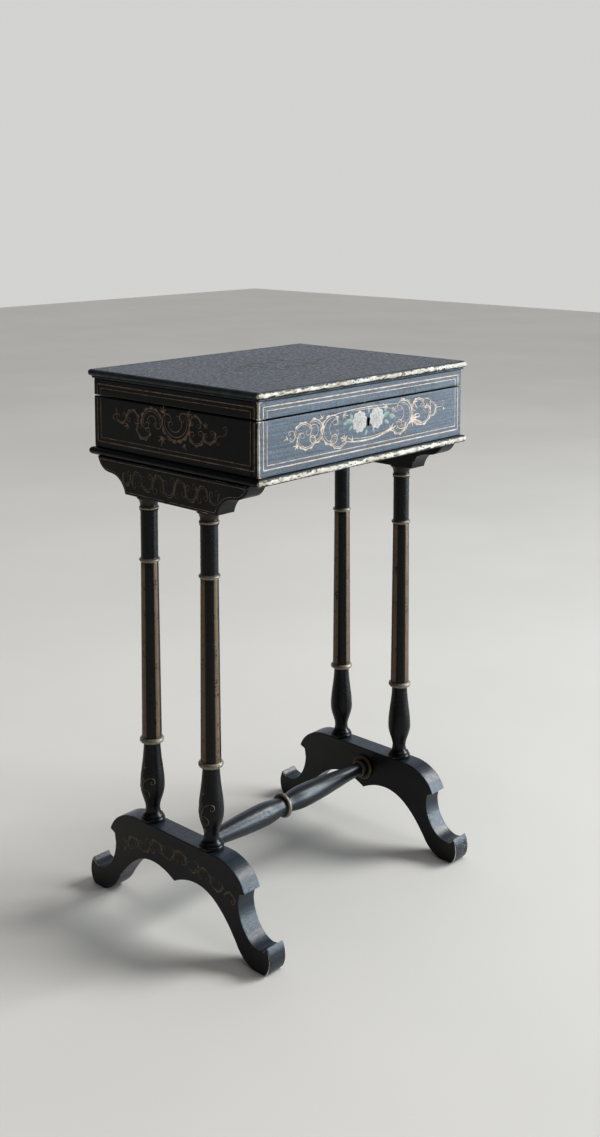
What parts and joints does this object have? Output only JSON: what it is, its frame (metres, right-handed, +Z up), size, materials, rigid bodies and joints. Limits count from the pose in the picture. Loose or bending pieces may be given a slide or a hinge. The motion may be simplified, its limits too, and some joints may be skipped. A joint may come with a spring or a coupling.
{
  "type": "sewing table",
  "caption": "Small lacquered sewing table on scroll feet with turned columns, a lidded box, lock, inner mirror and lift-up tray.",
  "frame": {"origin": "centre of the overall box on the floor, midway between the four toes", "axes": "+X along the table's width to its right side, +Y towards the hinged back, +Z up; the keyhole faces -Y"},
  "size_m": [0.413, 0.3456, 0.72],
  "materials": {
    "lacquer": "aged glossy black lacquer",
    "gilding": "worn gilding over turned wood",
    "brass": "tarnished",
    "steel": "dull",
    "mirror": "silvered glass",
    "interior": "polished hardwood",
    "bone": "polished bone"
  },
  "bodies": {
    "stand": {"foot_left": "lacquer", "foot_right": "lacquer", "apron_left": "lacquer", "apron_right": "lacquer", "column_front_left": "lacquer", "column_front_right": "lacquer", "column_back_left": "lacquer", "column_back_right": "lacquer", "stretcher": "lacquer", "base_board": "lacquer", "box_front": "lacquer", "box_back": "lacquer", "box_left": "lacquer", "box_right": "lacquer", "stretcher_collar_left": "gilding", "stretcher_collar_right": "gilding", "hinge_box_leaf_left": "brass", "hinge_box_leaf_right": "brass", "hinge_pin_left": "steel", "hinge_pin_right": "steel", "tray_ledge_left": "interior", "tray_ledge_right": "interior", "lock_case": "brass"},
    "lid": {"lid_top": "lacquer", "lid_rail_front": "lacquer", "lid_rail_back": "lacquer", "lid_rail_left": "lacquer", "lid_rail_right": "lacquer", "hinge_lid_leaf_left": "brass", "hinge_lid_leaf_right": "brass", "lid_mirror": "mirror", "mirror_bead": "gilding", "link_plate": "brass"},
    "lock_bolt": {"lock_bolt": "steel"},
    "tray": {"tray_floor": "interior", "tray_wall_front": "interior", "tray_wall_back": "interior", "tray_wall_left": "interior", "tray_wall_right": "interior", "tray_long_divider_left": "interior", "tray_long_divider_right": "interior", "tray_cross_divider_left": "interior", "tray_cross_divider_right": "interior", "tray_cross_divider_front": "interior", "tray_cross_divider_back": "interior", "tray_knob_left": "bone", "tray_knob_right": "bone"}
  },
  "joints": [
    {"name": "lid_hinge", "type": "hinge", "parent": "stand", "child": "lid", "pos_m": [0, 0.1558, 0.68525], "axis": [-1, 0, 0], "range_deg": [0, 100]},
    {"name": "tray_lift", "type": "slide", "parent": "stand", "child": "tray", "axis": [0, 0, 1], "range_m": [0, 0.02]},
    {"name": "lock_bolt_slide", "type": "slide", "parent": "stand", "child": "lock_bolt", "axis": [-1, 0, 0], "range_m": [0, 0.008]}
  ]
}
